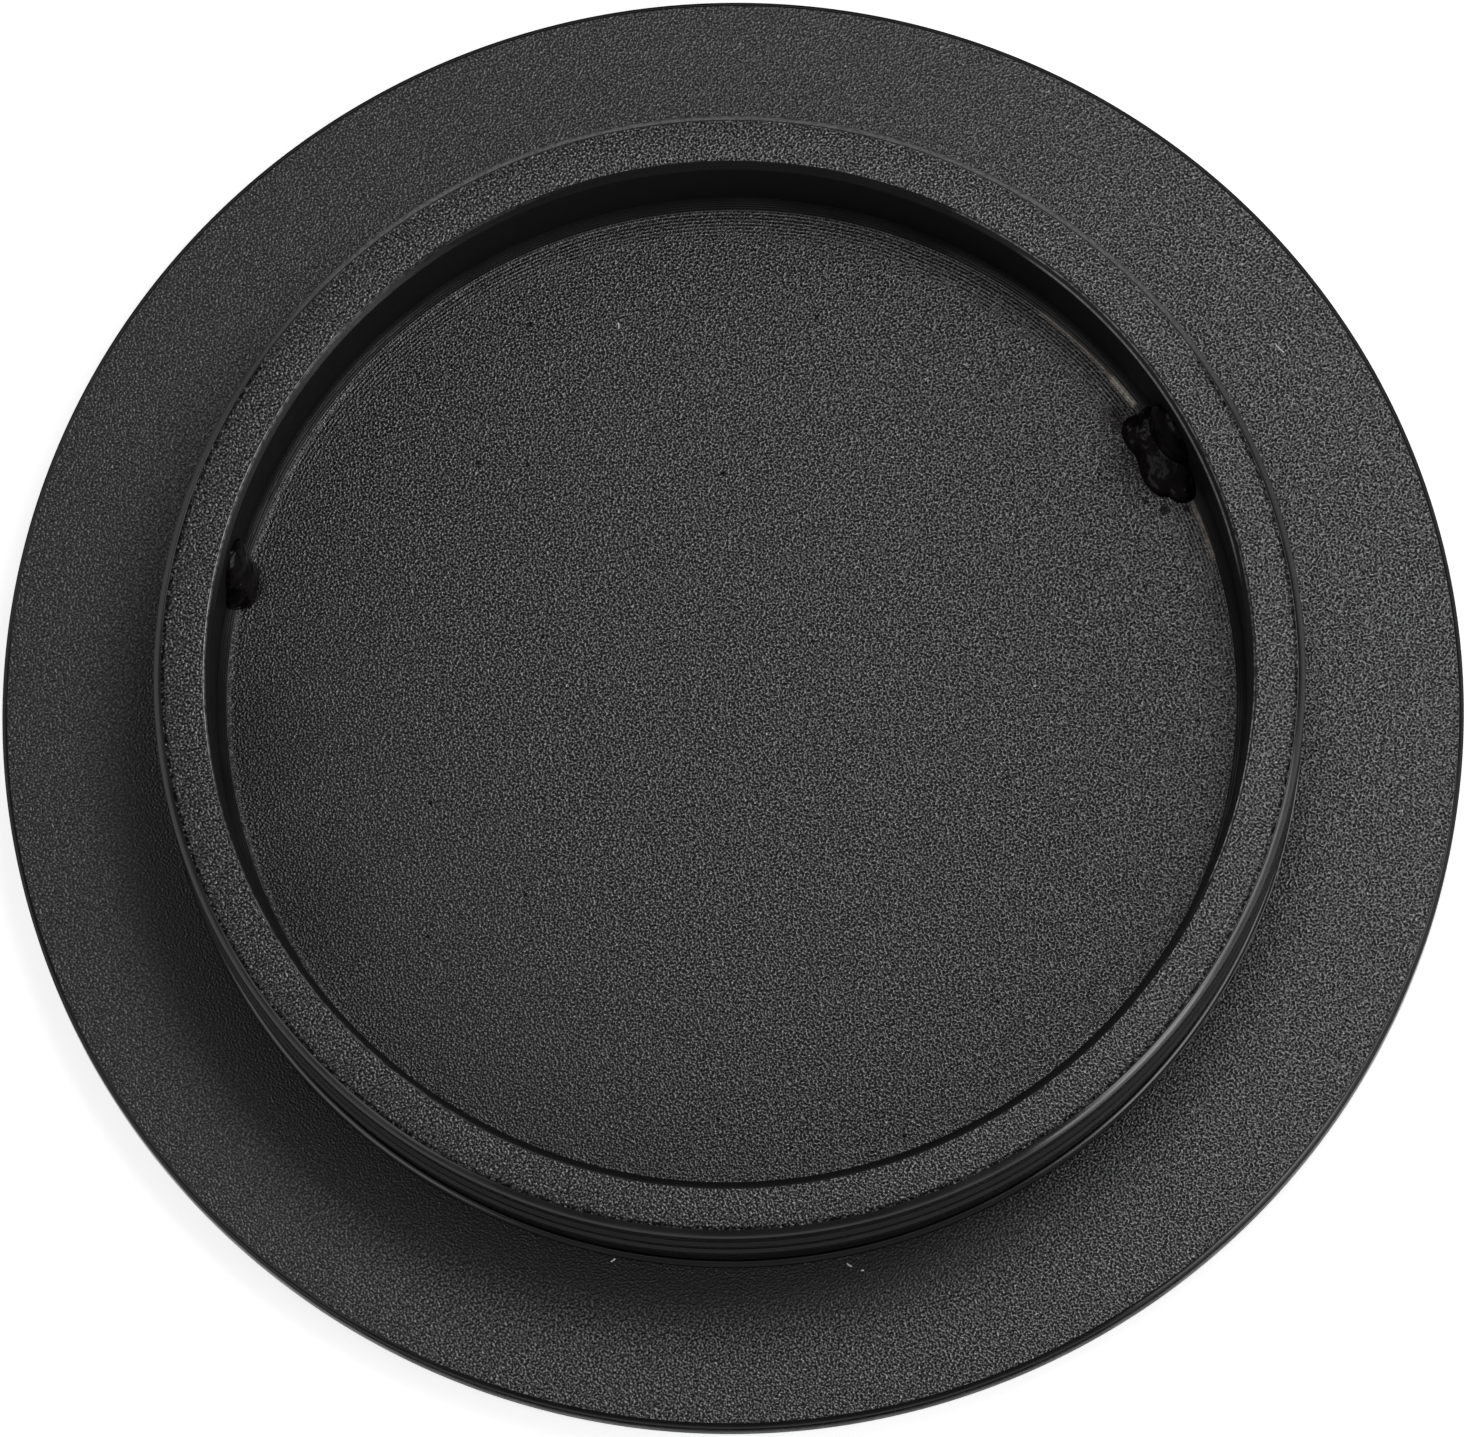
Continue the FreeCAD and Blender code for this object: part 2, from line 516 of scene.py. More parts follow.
@dataclass(frozen=True)
class BlastedFinish(Finish):
    """Black anodised aluminium with a fine blasted grain."""

    dark: Colour = (0.0145, 0.0145, 0.0147, 1.0)
    light: Colour = (0.26, 0.26, 0.2636, 1.0)
    roughness: float = 0.30
    roughness_gain: float = 0.06
    grain_size: float = 0.067 * MM
    grain_depth: float = 0.03 * MM
    usual_fleck: float = 0.17
    metallic: float = 0.7
    specular: float = 0.25
    calm: float = 1.0
    calm_bearing: float = 150.0
    calm_start: float = -6.0 * MM
    calm_end: float = 6.0 * MM
    shadow_flattening: float = 0.0
    shadow_bearing: float = 242.0
    shadow_side_start: float = 7.0 * MM
    shadow_side_end: float = 12.0 * MM
    shadow_start: float = 16.2 * MM
    shadow_end: float = 18.0 * MM
    ring_pitch: float = 0.10 * MM
    ring_depth: float = 0.0
    ring_bearing: float = 85.0
    ring_side: float = 9.0 * MM
    faint_ring: float = 0.1
    clear_ring: float = 0.6
    ring_start: float = 0.0
    ring_end: float = 1.0
    pit_spacing: float = 0.0
    pit_size: float = 0.06 * MM
    pit_colour: Colour = grey(0.004)

    @staticmethod
    def towards(graph: Graph, place: Value, bearing: float) -> Socket:
        """Give the distance from the axis towards a bearing in degrees."""
        return graph.length("DOT_PRODUCT", place, tuple(polar(1.0, bearing)))

    def contrast(self, graph: Graph, place: Value, radius: Value) -> Socket:
        """Work out how strong the grain is: less on the calm side, and flatter by the near side of the
        ring where the ring's shadow falls, which is painted shade.

        Args:
            graph: The material's nodes.
            place: The Object coordinates.
            radius: The distance from the axis.

        Returns:
            The strength's socket, 1 where the grain is full.
        """
        calm_side = self.towards(graph, place, self.calm_bearing)
        side = graph.ramp(calm_side, self.calm_start, self.calm_end, 1.0, self.calm)
        near_side = self.towards(graph, place, self.shadow_bearing)
        near = graph.ramp(near_side, self.shadow_side_start, self.shadow_side_end)
        close = graph.ramp(radius, self.shadow_start, self.shadow_end, self.shadow_flattening, 0.0)
        in_shadow = graph.math("MULTIPLY", near, close)
        return graph.math("MULTIPLY", side, graph.math("SUBTRACT", 1.0, in_shadow))

    def pits(self, graph: Graph, place: Value) -> Socket:
        """Scatter a few small dark pits.

        Args:
            graph: The material's nodes.
            place: The Object coordinates.

        Returns:
            A mask, 1 in a pit.
        """
        core, edge = 0.6, 1.2
        none_below, full_above = 0.5, 0.8
        cells = graph.fill(graph.add("TexVoronoi", voronoi_dimensions="2D"), {
            "Vector": place, "Scale": 1.0 / self.pit_spacing})
        share = self.pit_size / self.pit_spacing
        dot = graph.ramp(cells.outputs["Distance"], core * share, edge * share, 1.0, 0.0)
        lot = graph.work("SeparateColor", (cells.outputs["Color"],))[0]
        return graph.math("MULTIPLY", dot, graph.ramp(lot, none_below, full_above))

    def make(self, effects: SharedEffects) -> Material:
        """Build the material.

        Args:
            effects: The shared node groups.

        Returns:
            The finished material.
        """
        material, graph, shader = self.start()
        place = graph.place()
        radius = graph.radius(place)
        grain = graph.group(effects.grain, Place=place, Size=self.grain_size)
        height, fleck = grain["Height"], grain["Fleck"]
        normal = graph.bump(height, self.grain_depth)
        if self.calm < 1.0:
            strength = self.contrast(graph, place, radius)
            excess = graph.math("SUBTRACT", fleck, self.usual_fleck)
            fleck = graph.math("MULTIPLY_ADD", excess, strength, self.usual_fleck)
        if self.ring_depth:
            crest_start, crest_end, crest_fleck = 0.45, 0.8, 0.8
            rings = graph.group(effects.lathe, Place=place, Pitch=self.ring_pitch)["Height"]
            side = self.towards(graph, place, self.ring_bearing)
            share = graph.math(
                "MULTIPLY", graph.ramp(radius, self.ring_start, self.ring_end),
                graph.ramp(side, 0.0, self.ring_side, self.faint_ring, self.clear_ring))
            crests = graph.ramp(rings, crest_start, crest_end, 0.0, crest_fleck)
            fleck = graph.math("MULTIPLY_ADD", graph.math("SUBTRACT", crests, fleck), share, fleck)
            normal = graph.bump(graph.math("MULTIPLY", rings, share), self.ring_depth, normal)
        colour = graph.blend(fleck, self.dark, self.light)
        if self.pit_spacing:
            colour = graph.blend(self.pits(graph, place), colour, self.pit_colour)
        hollow, crown = 0.2, 0.8
        roughest = self.roughness + self.roughness_gain
        graph.fill(shader, {
            "Base Color": self.mark(graph, effects, place, colour),
            "Roughness": graph.ramp(height, hollow, crown, roughest, self.roughness),
            "Metallic": self.metallic,
            "Specular IOR Level": self.specular,
            "Normal": normal,
        })
        return material


@dataclass(frozen=True)
class TurnedFinish(Finish):
    """Black anodised aluminium as the lathe left it, satin smooth."""

    tone: Colour = (0.048, 0.048, 0.0485, 1.0)
    worn: Colour = grey(0.075)
    grazing: Colour = grey(0.12)
    roughness: float = 0.2
    unevenness: float = 0.04
    patch_size: float = 1.5 * MM
    metallic: float = 1.0
    specular: float = 0.5
    line_pitch: float = 0.06 * MM
    line_depth: float = 0.0012 * MM

    def make(self, effects: SharedEffects) -> Material:
        """Build the material.

        Args:
            effects: The shared node groups.

        Returns:
            The finished material.
        """
        material, graph, shader = self.start()
        place = graph.place()
        rings = graph.group(effects.lathe, Place=place, Pitch=self.line_pitch)["Height"]
        patchy = graph.noise(place, self.patch_size, detail=2.0)
        colour = graph.blend(graph.math("MULTIPLY", rings, patchy), self.tone, self.worn)
        smoothest = self.roughness - self.unevenness
        roughest = self.roughness + self.unevenness
        graph.fill(shader, {
            "Base Color": self.mark(graph, effects, place, colour),
            "Roughness": graph.ramp(patchy, NOISE_LOW, NOISE_HIGH, smoothest, roughest),
            "Metallic": self.metallic,
            "Specular IOR Level": self.specular,
            "Specular Tint": self.grazing,
            "Normal": graph.bump(rings, self.line_depth),
        })
        return material


@dataclass(frozen=True)
class LacquerFinish(Finish):
    """Glossy black lacquer that skinned over and wrinkled as it dried."""

    tone: Colour = (0.0022, 0.0018, 0.0018, 1.0)
    brown: Colour = (0.006, 0.0038, 0.0034, 1.0)
    roughness: float = 0.16
    roughness_gain: float = 0.1
    patch_size: float = 0.6 * MM
    specular: float = 0.12
    wrinkle_size: float = 0.30 * MM
    wrinkle_depth: float = 0.02 * MM

    def make(self) -> Material:
        """Build the material.

        Returns:
            The finished material.
        """
        material, graph, shader = self.start()
        place = graph.place()
        wrinkles = graph.noise(place, self.wrinkle_size, detail=1.0, distortion=1.2)
        thin = graph.noise(place, self.patch_size, detail=2.0)
        roughest = self.roughness + self.roughness_gain
        graph.fill(shader, {
            "Base Color": graph.blend(thin, self.tone, self.brown),
            "Specular IOR Level": self.specular,
            "Roughness": graph.ramp(wrinkles, NOISE_LOW, NOISE_HIGH, roughest, self.roughness),
            "Normal": graph.bump(wrinkles, self.wrinkle_depth),
        })
        return material


@dataclass(frozen=True)
class LintFinish(Finish):
    """Pale cotton lint."""

    tone: Colour = grey(0.95)
    shade: Colour = grey(0.75)
    fibre_size: float = 0.05 * MM
    roughness: float = 0.9

    def make(self) -> Material:
        """Build the material.

        Returns:
            The finished material.
        """
        material, graph, shader = self.start()
        fibres = graph.noise(graph.place(), self.fibre_size, detail=2.0)
        colour = graph.blend(fibres, self.shade, self.tone)
        graph.fill(shader, {"Base Color": colour, "Roughness": self.roughness})
        return material


@dataclass
class CapBody:
    """The cap itself: flange, neck, grooved plug ring and blind recess, turned from one bar."""

    flange_radius: float
    plug_radius: float
    seat_height: float
    ring_top: float
    ring_wall: float = 1.59 * MM
    floor_height: float = 2.5 * MM
    front_chamfer: float = 0.5 * MM
    rim_break: float = 0.12 * MM
    lip_chamfer: float = 0.19 * MM
    mouth_chamfer: float = 0.19 * MM
    lip_height: float = 0.57 * MM
    groove_count: int = 2
    groove_pitch: float = 1.0 * MM
    groove_width: float = 0.8 * MM
    groove_depth: float = 0.1 * MM
    lower_land: float = 0.26 * MM
    neck_depth: float = 0.2 * MM
    seat_corner: float = 0.2 * MM
    floor_corner: float = 0.44 * MM
    edge_break: float = 0.025 * MM
    mouth_break: float = 0.05 * MM
    corner_steps: int = 8
    break_steps: int = 2
    smooth_angle: float = 40.0

    @classmethod
    def from_frame(cls) -> "CapBody":
        """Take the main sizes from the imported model.

        Returns:
            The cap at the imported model's size.
        """
        low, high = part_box("cap_body")
        mounts = {mount["name"]: mount for mount in frame["record"]["mounts"]}
        return cls(
            flange_radius=min(high.x, high.y, -low.x, -low.y) - MERGE_DISTANCE,
            plug_radius=mounts["plug"]["dims"]["r_mm"] * MM,
            seat_height=mounts["seat"]["pos_m"][2],
            ring_top=high.z,
        )

    @property
    def recess_radius(self) -> float:
        """Return the radius of the recess."""
        return self.plug_radius - self.ring_wall

    @property
    def neck_radius(self) -> float:
        """Return the radius of the neck under the plug."""
        return self.plug_radius - self.neck_depth

    def groove_corners(self) -> list[tuple[float, float]]:
        """Work out the grip grooves, from the lowest to the highest.

        Returns:
            Their corners as radius and height.
        """
        bottom = self.plug_radius - self.groove_depth
        corners = []
        for number in reversed(range(self.groove_count)):
            top = self.ring_top - self.lip_height - number * self.groove_pitch
            foot = top - self.groove_width
            corners += [
                (self.plug_radius, foot),
                (bottom, foot + self.groove_depth),
                (bottom, top - self.groove_depth),
                (self.plug_radius, top),
            ]
        return corners

    def section(self) -> list[tuple[float, float, float]]:
        """Work out the half-section, from the middle of the outer face round to the middle of the floor.

        Returns:
            Each corner's radius, height and rounding.
        """
        grooves = self.groove_corners()
        neck_top = grooves[0][1] - self.lower_land
        small = self.edge_break
        return [
            (0.0, 0.0, 0.0),
            (self.flange_radius - self.front_chamfer, 0.0, small),
            (self.flange_radius, self.front_chamfer, small),
            (self.flange_radius, self.seat_height - self.rim_break, small),
            (self.flange_radius - self.rim_break, self.seat_height, small),
            (self.neck_radius, self.seat_height, self.seat_corner),
            (self.neck_radius, neck_top, small),
            (self.plug_radius, neck_top, small),
            *((radius, height, small) for radius, height in grooves),
            (self.plug_radius, self.ring_top - self.lip_chamfer, small),
            (self.plug_radius - self.lip_chamfer, self.ring_top, small),
            (self.recess_radius + self.mouth_chamfer, self.ring_top, self.mouth_break),
            (self.recess_radius, self.ring_top - self.mouth_chamfer, self.mouth_break),
            (self.recess_radius, self.floor_height, self.floor_corner),
            (0.0, self.floor_height, 0.0),
        ]

    def draw_section(self, corners: list[tuple[float, float, float]]) -> None:
        """Draw a half-section in edit mode, one extrusion for each corner, and round its corners.

        Args:
            corners: Each corner's radius, height and rounding.
        """
        bpy.ops.object.mode_set(mode="EDIT")
        bpy.ops.mesh.merge(type="CENTER")
        bpy.ops.transform.translate(value=(corners[0][0], 0.0, corners[0][1]))
        for before, corner in zip(corners, corners[1:]):
            step = (corner[0] - before[0], 0.0, corner[1] - before[1])
            bpy.ops.mesh.extrude_vertices_move(TRANSFORM_OT_translate={"value": step})
        for rounding in sorted({corner[2] for corner in corners if corner[2]}):
            places = [Vector((corner[0], 0.0, corner[1])) for corner in corners if corner[2] == rounding]
            steps = self.break_steps if rounding == self.edge_break else self.corner_steps
            self.select_places(places)
            bpy.ops.mesh.bevel(offset=rounding, segments=steps, affect="VERTICES")

    @staticmethod
    def select_places(places: list[Vector]) -> None:
        """Select the vertices of the edited mesh that lie at the given places.

        Args:
            places: Where the vertices lie.
        """
        bpy.ops.mesh.select_all(action="DESELECT")
        mesh = bpy.context.active_object.data
        edited = bmesh.from_edit_mesh(mesh)
        for vertex in edited.verts:
            vertex.select = any((vertex.co - place).length < MERGE_DISTANCE for place in places)
        edited.select_flush_mode()
        bmesh.update_edit_mesh(mesh)

    @staticmethod
    def turn_section() -> None:
        """Spin the drawn section all the way round, close its seam and poles, and leave edit mode."""
        bpy.ops.mesh.select_all(action="SELECT")
        bpy.ops.mesh.spin(
            steps=TURN_STEPS, angle=math.tau, center=(0.0, 0.0, 0.0), axis=(0.0, 0.0, 1.0),
            use_auto_merge=True)
        bpy.ops.mesh.select_all(action="SELECT")
        bpy.ops.mesh.remove_doubles(threshold=MERGE_DISTANCE)
        bpy.ops.mesh.normals_make_consistent(inside=False)
        bpy.ops.object.mode_set(mode="OBJECT")

    def build(self) -> Piece:
        """Model the cap.

        Returns:
            The cap's object.
        """
        clear_selection()
        bpy.ops.mesh.primitive_plane_add(size=self.plug_radius)
        piece = name_piece("turned_cap")
        self.draw_section(self.section())
        self.turn_section()
        bpy.ops.object.shade_smooth_by_angle(angle=math.radians(self.smooth_angle))
        apply_modifier(piece, "WEIGHTED_NORMAL", keep_sharp=True, weight=80)
        return piece

    def build_recess_space(self) -> Piece:
        """Model the empty space of the recess, which the dabs are cut to.

        Returns:
            The space's object.
        """
        clear_selection()
        bpy.ops.mesh.primitive_plane_add(size=self.recess_radius)
        space = name_piece("recess_space")
        self.draw_section([
            (0.0, self.floor_height, 0.0),
            (self.recess_radius, self.floor_height, self.floor_corner),
            (self.recess_radius, self.ring_top, 0.0),
            (0.0, self.ring_top, 0.0),
        ])
        self.turn_section()
        return space

    def zone_of(self, face: bpy.types.MeshPolygon) -> Zone:
        """Sort one face by its place and the way it faces.

        Args:
            face: A face of the cap.

        Returns:
            The face's finish.
        """
        level = 0.999
        nearly_level = 0.9
        slanting = 0.6
        height = face.center.z
        radius = math.hypot(face.center.x, face.center.y)
        inside = radius < self.recess_radius
        if inside and face.normal.z > nearly_level and height < self.floor_height + self.floor_corner:
            return Zone.FLOOR
        if face.normal.z > level:
            return Zone.RING_TOP if height > self.floor_height else Zone.SEAT
        if face.normal.z < -level and height < self.edge_break:
            return Zone.OUTER_FACE
        if radius > self.plug_radius or height < self.seat_height:
            return Zone.RIM
        if radius > self.recess_radius + self.mouth_chamfer + self.mouth_break:
            if height < self.seat_height + self.seat_corner:
                return Zone.FOOT
            on_lip = height > self.ring_top - self.lip_chamfer and face.normal.z > slanting
            return Zone.LIP if on_lip else Zone.PLUG
        if height > self.ring_top - self.mouth_chamfer - self.mouth_break:
            return Zone.MOUTH_EDGE
        return Zone.FLOOR_CORNER if height < self.floor_height + self.floor_corner else Zone.RECESS_WALL

    def dress(self, piece: Piece, finishes: dict[Zone, Material]) -> None:
        """Give each face its finish, and set the cap on its body.

        Args:
            piece: The cap's object.
            finishes: A material for each zone.
        """
        for zone in Zone:
            piece.data.materials.append(finishes[zone])
        for face in piece.data.polygons:
            face.material_index = self.zone_of(face).value
        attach(piece, BODY)
        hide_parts("cap_body")


@dataclass(frozen=True)
class Lump:
    """One lump of a dab: where its middle lies, and its half-sizes."""

    radius: float
    bearing: float
    rise: float
    reach: float
    spread: float
    height: float

    def build(self, floor_height: float) -> Piece:
        """Model the lump as a smooth drop.

        Args:
            floor_height: The height of the recess floor.

        Returns:
            The drop's object.
        """
        clear_selection()
        bpy.ops.mesh.primitive_ico_sphere_add(subdivisions=4, radius=1.0)
        drop = name_piece("lump")
        middle = (0.0, 0.0, 0.0)
        bpy.ops.object.mode_set(mode="EDIT")
        bpy.ops.transform.resize(value=(self.reach, self.spread, self.height), center_override=middle)
        bpy.ops.transform.rotate(
            value=-math.radians(self.bearing), orient_axis="Z", center_override=middle)
        bpy.ops.transform.translate(value=polar(self.radius, self.bearing, floor_height + self.rise))
        bpy.ops.object.mode_set(mode="OBJECT")
        return drop


@dataclass
class LacquerDab:
    """A dried dab of lacquer in the corner of the recess."""

    name: str
    node: str
    lumps: tuple[Lump, ...]
    crease_size: float = 0.5 * MM
    crease_depth: float = 0.08 * MM
    grid: float = 0.045 * MM
    smoothing: int = 14
    smooth_angle: float = 50.0

    def build(self, cap: CapBody, space: Piece) -> Piece:
        """Model the dab: join its lumps, soften and crease them, and cut them to the recess.

        Args:
            cap: The cap that it sits in.
            space: The empty space of the recess.

        Returns:
            The dab's object.
        """
        dab = join_pieces([lump.build(cap.floor_height) for lump in self.lumps], self.name)
        apply_modifier(dab, "REMESH", mode="VOXEL", voxel_size=self.grid)
        apply_modifier(dab, "SMOOTH", factor=0.5, iterations=self.smoothing)
        creases = bpy.data.textures.new(f"{self.name}_creases", "CLOUDS")
        creases.noise_scale = self.crease_size
        creases.noise_depth = 1
        apply_modifier(
            dab, "DISPLACE", texture=creases, texture_coords="LOCAL", strength=self.crease_depth,
            mid_level=NOISE_MIDDLE)
        apply_modifier(dab, "BOOLEAN", operation="INTERSECT", object=space, solver="EXACT")
        bpy.ops.object.shade_smooth_by_angle(angle=math.radians(self.smooth_angle))
        return dab

    def dress(self, piece: Piece, finish: Material) -> None:
        """Give the dab its lacquer, and set it on its body.

        Args:
            piece: The dab's object.
            finish: The lacquer.
        """
        coat(piece, finish)
        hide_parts(self.node)


@dataclass(frozen=True)
class Fibre:
    """One fibre or speck of lint."""

    radius: float
    bearing: float
    height: float
    length: float
    heading: float
    curl: float = 0.3


@dataclass
class Lint:
    """The few fibres and specks of lint that lie on the cap."""

    fibres: tuple[Fibre, ...]
    thickness: float = 0.044 * MM

    def add_fibre(self, fibre: Fibre) -> Piece:
        """Model one curved fibre.

        Args:
            fibre: Its place, length and curl.

        Returns:
            The fibre's object.
        """
        clear_selection()
        bpy.ops.curve.primitive_bezier_curve_add(radius=fibre.length / 2)
        piece = name_piece("lint")
        start, end = piece.data.splines[0].bezier_points
        for point, side in ((start, -1.0), (end, 1.0)):
            along = Vector((side * fibre.length / 2, 0.0, 0.0))
            bow = Vector((side * fibre.length / 6, side * fibre.curl * fibre.length / 2, 0.0))
            point.co = along
            point.handle_left = along - bow
            point.handle_right = along + bow
        piece.data.bevel_depth = self.thickness / 2
        piece.data.bevel_resolution = 2
        piece.data.resolution_u = 8
        piece.data.use_fill_caps = True
        bpy.ops.object.convert(target="MESH")
        piece = bpy.context.active_object
        piece.data.transform(Matrix.Rotation(math.radians(fibre.heading), 4, "Z"))
        rise = fibre.height + self.thickness / 2
        piece.data.transform(Matrix.Translation(polar(fibre.radius, fibre.bearing, rise)))
        return piece

    def build(self) -> Piece:
        """Model all the lint as one piece.

        Returns:
            The lint's object.
        """
        lint = join_pieces([self.add_fibre(fibre) for fibre in self.fibres], "lint_fibres")
        bpy.ops.object.shade_smooth()
        return lint


@dataclass(frozen=True)
class SoftBox:
    """A soft lamp that faces the cap."""

    name: str
    bearing: float
    elevation: float
    distance: float
    width: float
    depth: float
    power: float

    def build(self, aim: Vector) -> None:
        """Hang the lamp.

        Args:
            aim: The point that it faces.
        """
        lamp = bpy.data.lights.new(self.name, "AREA")
        lamp.shape = "RECTANGLE"
        lamp.size = self.width
        lamp.size_y = self.depth
        lamp.energy = self.power
        level = self.distance * math.cos(math.radians(self.elevation))
        rise = self.distance * math.sin(math.radians(self.elevation))
        away = polar(level, self.bearing, rise)
        light = bpy.data.objects.new(self.name, lamp)
        bpy.context.scene.collection.objects.link(light)
        light.location = aim + away
        light.rotation_euler = away.to_track_quat("Z", "Y").to_euler()


@dataclass
class Studio:
    """A white table, white surroundings and soft lamps."""

    lamps: tuple[SoftBox, ...]
    floor_radius: float = 1.5
    floor_sides: int = 96
    floor_colour: Colour = grey(0.85)
    floor_glow: float = 0.68
    fill: float = 0.2
    backdrop_foot: float = 0.035
    backdrop_top: float = 0.11

    @staticmethod
    def seen_directly(graph: Graph) -> Socket:
        """Tell the rays that see the background from those that carry its light.

        Args:
            graph: The nodes of the floor.

        Returns:
            A socket that is 1 for camera, glossy and transmission rays.
        """
        path = graph.add("LightPath")
        seen = graph.math("MAXIMUM", path.outputs["Is Camera Ray"], path.outputs["Is Glossy Ray"])
        return graph.math("MAXIMUM", seen, path.outputs["Is Transmission Ray"])

    def build_floor(self) -> None:
        """Lay the white floor, which keeps the cap's shadow."""
        clear_selection()
        bpy.ops.mesh.primitive_circle_add(
            vertices=self.floor_sides, radius=self.floor_radius, fill_type="NGON")
        floor = name_piece("studio_floor")
        material = bpy.data.materials.new("white_table")
        material.use_nodes = True
        graph = Graph(material.node_tree)
        material.node_tree.nodes.remove(material.node_tree.nodes["Principled BSDF"])
        paint = graph.add("BsdfDiffuse")
        paint.inputs["Color"].default_value = self.floor_colour
        glow = graph.add("Emission")
        graph.feed(glow.inputs["Strength"], graph.math(
            "MULTIPLY", self.seen_directly(graph), self.floor_glow))
        both = graph.work("AddShader", (paint.outputs[0], glow.outputs[0]))[0]
        graph.feed(material.node_tree.nodes["Material Output"].inputs["Surface"], both)
        floor.data.materials.append(material)

    def build_world(self) -> None:
        """Surround the table with white near the horizon and a dim even sky above it."""
        world = bpy.data.worlds.new("studio_surroundings")
        world.use_nodes = True
        graph = Graph(world.node_tree)
        background = world.node_tree.nodes["Background"]
        height = graph.work("SeparateXYZ", (graph.add("TexCoord").outputs["Generated"],))["Z"]
        strength = graph.ramp(height, self.backdrop_foot, self.backdrop_top, 1.0, self.fill)
        graph.fill(background, {"Strength": strength, "Color": grey(1.0)})
        bpy.context.scene.world = world

    def build(self, aim: Vector) -> None:
        """Lay the floor, hang the lamps and set the surroundings.

        Args:
            aim: The point that the lamps face.
        """
        self.build_floor()
        self.build_world()
        for lamp in self.lamps:
            lamp.build(aim)
        bpy.context.scene.view_settings.view_transform = "Standard"


@dataclass(frozen=True)
class PhotoCamera:
    """The camera of the photograph, above the near side of the cap."""

    aim: tuple[float, float, float]
    distance: float = 406.2 * MM
    azimuth: float = 5.091
    elevation: float = 77.296
    roll: float = -5.218
    lens: float = 358.53
    sensor: float = 36.0
    clip_ratio: float = 100.0

    def build(self) -> None:
        """Set the camera up and make it the scene's own."""
        turn = math.radians(self.azimuth)
        lift = math.radians(self.elevation)
        back = Vector((
            math.sin(turn) * math.cos(lift),
            -math.cos(turn) * math.cos(lift),
            math.sin(lift),
        ))
        level = Vector((0.0, 0.0, 1.0)).cross(back).normalized()
        right = Matrix.Rotation(math.radians(self.roll), 3, back) @ level
        up = back.cross(right)
        camera = bpy.data.cameras.new("photo_camera")
        camera.lens = self.lens
        camera.sensor_width = self.sensor
        camera.clip_start = self.distance / self.clip_ratio
        camera.clip_end = self.distance * self.clip_ratio
        holder = bpy.data.objects.new("photo_camera", camera)
        bpy.context.scene.collection.objects.link(holder)
        stand = Matrix((right, up, back)).transposed().to_4x4()
        holder.matrix_world = Matrix.Translation(Vector(self.aim) + back * self.distance) @ stand
        bpy.context.scene.camera = holder


